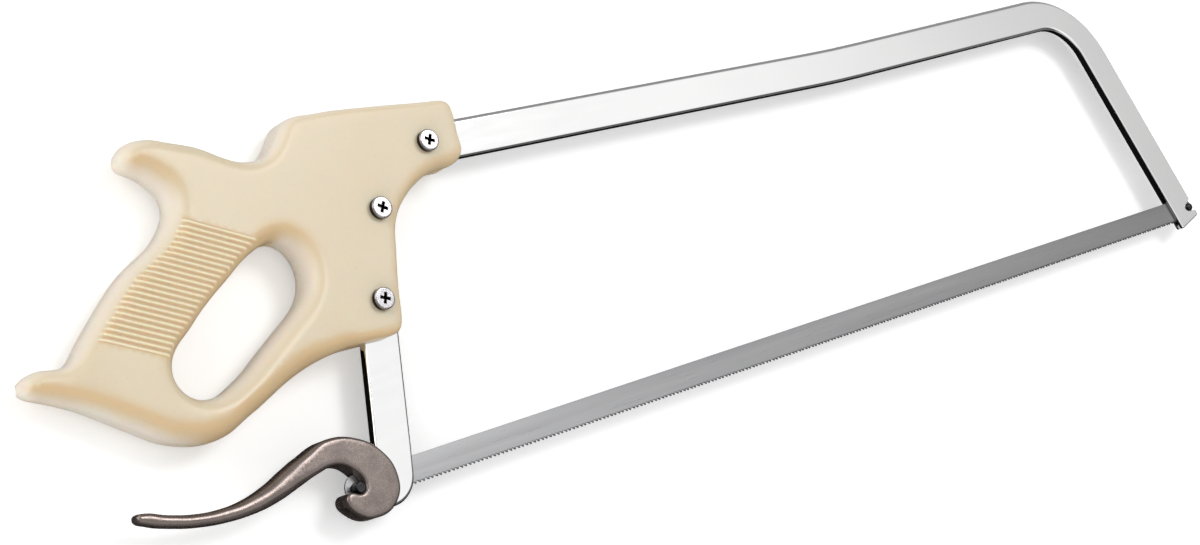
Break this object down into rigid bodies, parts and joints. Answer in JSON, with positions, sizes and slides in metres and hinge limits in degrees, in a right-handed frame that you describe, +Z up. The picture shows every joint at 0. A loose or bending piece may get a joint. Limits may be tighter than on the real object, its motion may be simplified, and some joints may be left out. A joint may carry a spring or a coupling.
{
  "type": "butcher saw",
  "caption": "Bow-frame butcher saw with a moulded grip handle, a thin toothed blade pinned at both ends and a cam lever that tightens the blade.",
  "frame": {"origin": "middle of the underside of the saw lying flat, on the plane of the barrel nut heads", "axes": "+X along the blade from the handle to the front arm, +Y from the teeth to the rail, +Z up from the surface to the screw heads"},
  "size_m": [0.7568, 0.184, 0.0278],
  "materials": {
    "bar_chrome": "bright chrome plate",
    "handle_plastic": "ivory moulded plastic, satin",
    "blade_steel": "rolled blade steel",
    "pin_steel": "dark steel",
    "lever_casting": "tumbled casting with a dull brown-grey plate",
    "screw_plate": "bright nickel plate"
  },
  "bodies": {
    "frame": {"frame_bar": "bar_chrome", "handle": "handle_plastic", "handle_screw_1": "screw_plate", "handle_screw_2": "screw_plate", "handle_screw_3": "screw_plate", "barrel_nut_1": "screw_plate", "barrel_nut_2": "screw_plate", "barrel_nut_3": "screw_plate"},
    "blade": {"saw_blade": "blade_steel", "blade_pin_front": "pin_steel", "blade_pin_rear": "pin_steel"},
    "lever": {"tension_lever": "lever_casting"}
  },
  "joints": [
    {"name": "blade_slide", "type": "slide", "parent": "frame", "child": "blade", "axis": [1, 0, 0], "range_m": [0, 0.004]},
    {"name": "lever_swing", "type": "hinge", "parent": "blade", "child": "lever", "pos_m": [-0.2445, -0.07812, 0.0135], "axis": [0, 0, 1], "range_deg": [0, 80]}
  ],
  "couplings": [
    {"joint": "blade_slide", "follows": "lever_swing", "m_per_rad": 0.0028647}
  ]
}
